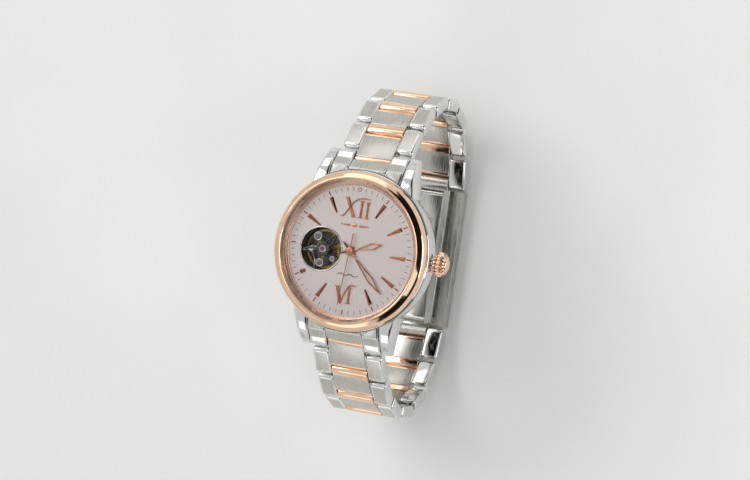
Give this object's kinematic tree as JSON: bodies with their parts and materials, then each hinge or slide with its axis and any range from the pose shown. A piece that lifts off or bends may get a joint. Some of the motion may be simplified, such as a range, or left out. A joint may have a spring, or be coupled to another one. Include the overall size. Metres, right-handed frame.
{
  "type": "mechanical wristwatch",
  "caption": "Open-heart automatic wristwatch: round steel case, rose-gold bezel and crown, three-row link bracelet with folding clasp, working hands, train and winding.",
  "frame": {"origin": "centre of the case back's outer face, on the axis of the hands", "axes": "+Z out through the dial, +Y towards 12 o'clock, +X towards the crown at 3 o'clock"},
  "size_m": [0.0373, 0.0696, 0.0521],
  "materials": {
    "polished_steel": "polished stainless steel",
    "brushed_steel": "fine brushed stainless steel",
    "rose_gold": "polished rose gold plating",
    "dial_silver": "sunray brushed, pale pinkish silver",
    "sapphire": "polished",
    "movement_nickel": "nickel plated, grained",
    "movement_brass": "gilt brass",
    "spring_steel": "hardened spring steel",
    "ruby": "synthetic ruby",
    "gasket_rubber": "nitrile rubber"
  },
  "bodies": {
    "case": {"case_middle": "polished_steel", "bezel": "rose_gold", "crystal": "sapphire", "case_gaskets": "gasket_rubber", "rehaut_ring": "rose_gold", "dial": "dial_silver", "hour_markers": "rose_gold", "case_back": "polished_steel", "case_back_crystal": "sapphire", "movement_holder": "movement_nickel", "main_plate": "movement_nickel", "train_bridge": "movement_nickel", "balance_bridge": "movement_nickel", "pallet_bridge": "movement_nickel", "bearing_jewels": "ruby", "movement_screws": "spring_steel", "end_links": "brushed_steel", "spring_bars": "polished_steel", "hairspring": "spring_steel"},
    "seconds": {"fourth_wheel": "movement_brass", "seconds_hand": "rose_gold"},
    "minutes": {"center_wheel": "movement_brass", "cannon_pinion": "movement_brass", "minute_hand": "rose_gold"},
    "hours": {"hour_wheel": "movement_brass", "hour_hand": "rose_gold"},
    "minute_wheel": {"minute_wheel": "movement_brass"},
    "third_wheel": {"third_wheel": "movement_brass"},
    "escape_wheel": {"escape_wheel": "spring_steel"},
    "barrel": {"barrel": "movement_brass", "mainspring": "spring_steel"},
    "pallet_fork": {"pallet_fork": "spring_steel"},
    "balance": {"balance_wheel": "movement_brass"},
    "ratchet": {"ratchet_wheel": "movement_nickel"},
    "crown_wheel": {"crown_wheel": "movement_nickel"},
    "click": {"click": "spring_steel"},
    "winding": {"winding_pinion": "movement_nickel"},
    "crown": {"crown": "rose_gold", "winding_stem": "spring_steel"},
    "clutch": {"clutch_wheel": "movement_nickel"},
    "setting_lever": {"setting_lever": "spring_steel"},
    "rotor": {"rotor": "movement_nickel"},
    "reversing_wheel": {"reversing_wheel": "movement_brass"},
    "link_12_1": {"link_12_1": "brushed_steel"},
    "link_12_2": {"link_12_2": "brushed_steel"},
    "link_12_3": {"link_12_3": "brushed_steel"},
    "link_12_4": {"link_12_4": "brushed_steel"},
    "link_12_5": {"link_12_5": "brushed_steel"},
    "link_12_6": {"link_12_6": "brushed_steel"},
    "link_12_7": {"link_12_7": "brushed_steel"},
    "link_6_1": {"link_6_1": "brushed_steel"},
    "link_6_2": {"link_6_2": "brushed_steel"},
    "link_6_3": {"link_6_3": "brushed_steel"},
    "link_6_4": {"link_6_4": "brushed_steel"},
    "link_6_5": {"link_6_5": "brushed_steel"},
    "link_6_6": {"link_6_6": "brushed_steel"},
    "link_6_7": {"link_6_7": "brushed_steel"},
    "clasp_frame": {"clasp_frame": "polished_steel"},
    "clasp_tongue": {"clasp_tongue": "polished_steel"},
    "clasp_cover": {"clasp_cover": "brushed_steel"}
  },
  "joints": [
    {"name": "seconds_turn", "type": "hinge", "parent": "case", "child": "seconds", "pos_m": [0, 0, 0.0087], "axis": [0, 0, 1], "continuous": true},
    {"name": "minutes_turn", "type": "hinge", "parent": "case", "child": "minutes", "pos_m": [0, 0, 0.0087], "axis": [0, 0, 1], "continuous": true},
    {"name": "hours_turn", "type": "hinge", "parent": "case", "child": "hours", "pos_m": [0, 0, 0.0087], "axis": [0, 0, 1], "continuous": true},
    {"name": "minute_wheel_turn", "type": "hinge", "parent": "case", "child": "minute_wheel", "pos_m": [0.00249, -0.00144, 0.006], "axis": [0, 0, 1], "continuous": true},
    {"name": "third_wheel_turn", "type": "hinge", "parent": "case", "child": "third_wheel", "pos_m": [0.0024, -0.00416, 0.006], "axis": [0, 0, 1], "continuous": true},
    {"name": "escape_wheel_turn", "type": "hinge", "parent": "case", "child": "escape_wheel", "pos_m": [-0.00269, -0.00385, 0.006], "axis": [0, 0, 1], "continuous": true},
    {"name": "barrel_turn", "type": "hinge", "parent": "case", "child": "barrel", "pos_m": [0.00219, 0.00601, 0.006], "axis": [0, 0, 1], "continuous": true},
    {"name": "pallet_fork_rock", "type": "hinge", "parent": "case", "child": "pallet_fork", "pos_m": [-0.0044, -0.00239, 0.006], "axis": [0, 0, 1], "range_deg": [-4, 4]},
    {"name": "balance_swing", "type": "hinge", "parent": "case", "child": "balance", "pos_m": [-0.0066, -0.0005, 0.006], "axis": [0, 0, 1], "range_deg": [-135, 135], "deforming": ["hairspring"]},
    {"name": "crown_turn", "type": "hinge", "parent": "case", "child": "winding", "pos_m": [0.017, 0, 0.0046], "axis": [1, 0, 0], "continuous": true},
    {"name": "crown_pull", "type": "slide", "parent": "winding", "child": "crown", "axis": [1, 0, 0], "range_m": [0, 0.001]},
    {"name": "clutch_slide", "type": "slide", "parent": "winding", "child": "clutch", "axis": [1, 0, 0], "range_m": [-0.0008, 0]},
    {"name": "setting_lever_turn", "type": "hinge", "parent": "case", "child": "setting_lever", "pos_m": [0.0115, 0.003, 0.0046], "axis": [0, 0, 1], "range_deg": [0, 19.1]},
    {"name": "crown_wheel_turn", "type": "hinge", "parent": "case", "child": "crown_wheel", "pos_m": [0.00848, 0.00193, 0.00295], "axis": [0, 0, 1], "continuous": true},
    {"name": "ratchet_turn", "type": "hinge", "parent": "case", "child": "ratchet", "pos_m": [0.00219, 0.00601, 0.00295], "axis": [0, 0, 1], "continuous": true},
    {"name": "click_rock", "type": "hinge", "parent": "case", "child": "click", "pos_m": [-0.00143, 0.0102, 0.00295], "axis": [0, 0, 1], "range_deg": [0, 10]},
    {"name": "rotor_turn", "type": "hinge", "parent": "case", "child": "rotor", "pos_m": [0, 0, 0.0016], "axis": [0, 0, 1], "continuous": true},
    {"name": "reversing_wheel_turn", "type": "hinge", "parent": "case", "child": "reversing_wheel", "pos_m": [-0.00306, 0.00257, 0.0028], "axis": [0, 0, 1], "continuous": true},
    {"name": "link_12_1_hinge", "type": "hinge", "parent": "case", "child": "link_12_1", "pos_m": [0, 0.0193, 0.002], "axis": [1, 0, 0], "range_deg": [0, 43]},
    {"name": "link_12_2_hinge", "type": "hinge", "parent": "link_12_1", "child": "link_12_2", "pos_m": [0, 0.02532, -0.00288], "axis": [1, 0, 0], "range_deg": [0, 14]},
    {"name": "link_12_3_hinge", "type": "hinge", "parent": "link_12_2", "child": "link_12_3", "pos_m": [0, 0.03041, -0.00873], "axis": [1, 0, 0], "range_deg": [0, 22]},
    {"name": "link_12_4_hinge", "type": "hinge", "parent": "link_12_3", "child": "link_12_4", "pos_m": [0, 0.03344, -0.01586], "axis": [1, 0, 0], "range_deg": [0, 27]},
    {"name": "link_12_5_hinge", "type": "hinge", "parent": "link_12_4", "child": "link_12_5", "pos_m": [0, 0.03344, -0.02361], "axis": [1, 0, 0], "range_deg": [0, 29]},
    {"name": "link_12_6_hinge", "type": "hinge", "parent": "link_12_5", "child": "link_12_6", "pos_m": [0, 0.03016, -0.03063], "axis": [1, 0, 0], "range_deg": [0, 29]},
    {"name": "link_12_7_hinge", "type": "hinge", "parent": "link_12_6", "child": "link_12_7", "pos_m": [0, 0.02422, -0.03562], "axis": [1, 0, 0], "range_deg": [0, 29]},
    {"name": "link_6_1_hinge", "type": "hinge", "parent": "case", "child": "link_6_1", "pos_m": [0, -0.0193, 0.002], "axis": [-1, 0, 0], "range_deg": [0, 43]},
    {"name": "link_6_2_hinge", "type": "hinge", "parent": "link_6_1", "child": "link_6_2", "pos_m": [0, -0.02532, -0.00288], "axis": [-1, 0, 0], "range_deg": [0, 14]},
    {"name": "link_6_3_hinge", "type": "hinge", "parent": "link_6_2", "child": "link_6_3", "pos_m": [0, -0.03041, -0.00873], "axis": [-1, 0, 0], "range_deg": [0, 22]},
    {"name": "link_6_4_hinge", "type": "hinge", "parent": "link_6_3", "child": "link_6_4", "pos_m": [0, -0.03344, -0.01586], "axis": [-1, 0, 0], "range_deg": [0, 27]},
    {"name": "link_6_5_hinge", "type": "hinge", "parent": "link_6_4", "child": "link_6_5", "pos_m": [0, -0.03344, -0.02361], "axis": [-1, 0, 0], "range_deg": [0, 29]},
    {"name": "link_6_6_hinge", "type": "hinge", "parent": "link_6_5", "child": "link_6_6", "pos_m": [0, -0.03016, -0.03063], "axis": [-1, 0, 0], "range_deg": [0, 29]},
    {"name": "link_6_7_hinge", "type": "hinge", "parent": "link_6_6", "child": "link_6_7", "pos_m": [0, -0.02422, -0.03562], "axis": [-1, 0, 0], "range_deg": [0, 29]},
    {"name": "clasp_frame_hinge", "type": "hinge", "parent": "link_12_7", "child": "clasp_frame", "pos_m": [0, 0.01674, -0.03762], "axis": [1, 0, 0], "range_deg": [0, 19]},
    {"name": "clasp_open", "type": "hinge", "parent": "clasp_frame", "child": "clasp_tongue", "pos_m": [0, -0.01404, -0.03817], "axis": [-1, 0, 0], "range_deg": [0, 140]},
    {"name": "clasp_cover_fold", "type": "hinge", "parent": "clasp_tongue", "child": "clasp_cover", "pos_m": [0, 0.01404, -0.03817], "axis": [-1, 0, 0], "range_deg": [-140, 0]}
  ],
  "couplings": [
    {"joint": "third_wheel_turn", "follows": "seconds_turn", "ratio": -0.125},
    {"joint": "minutes_turn", "follows": "seconds_turn", "ratio": 0.016667},
    {"joint": "escape_wheel_turn", "follows": "seconds_turn", "ratio": -9},
    {"joint": "barrel_turn", "follows": "seconds_turn", "ratio": -0.002381},
    {"joint": "minute_wheel_turn", "follows": "seconds_turn", "ratio": -0.0055556},
    {"joint": "hours_turn", "follows": "seconds_turn", "ratio": 0.0013889},
    {"joint": "clutch_slide", "follows": "crown_pull", "ratio": -0.8},
    {"joint": "setting_lever_turn", "follows": "crown_pull", "rad_per_m": 333.33},
    {"joint": "crown_wheel_turn", "follows": "crown_turn", "ratio": 0.46667},
    {"joint": "ratchet_turn", "follows": "crown_turn", "ratio": -0.31111},
    {"joint": "reversing_wheel_turn", "follows": "rotor_turn", "ratio": -0.66667},
    {"joint": "clasp_cover_fold", "follows": "clasp_open", "ratio": -1}
  ]
}
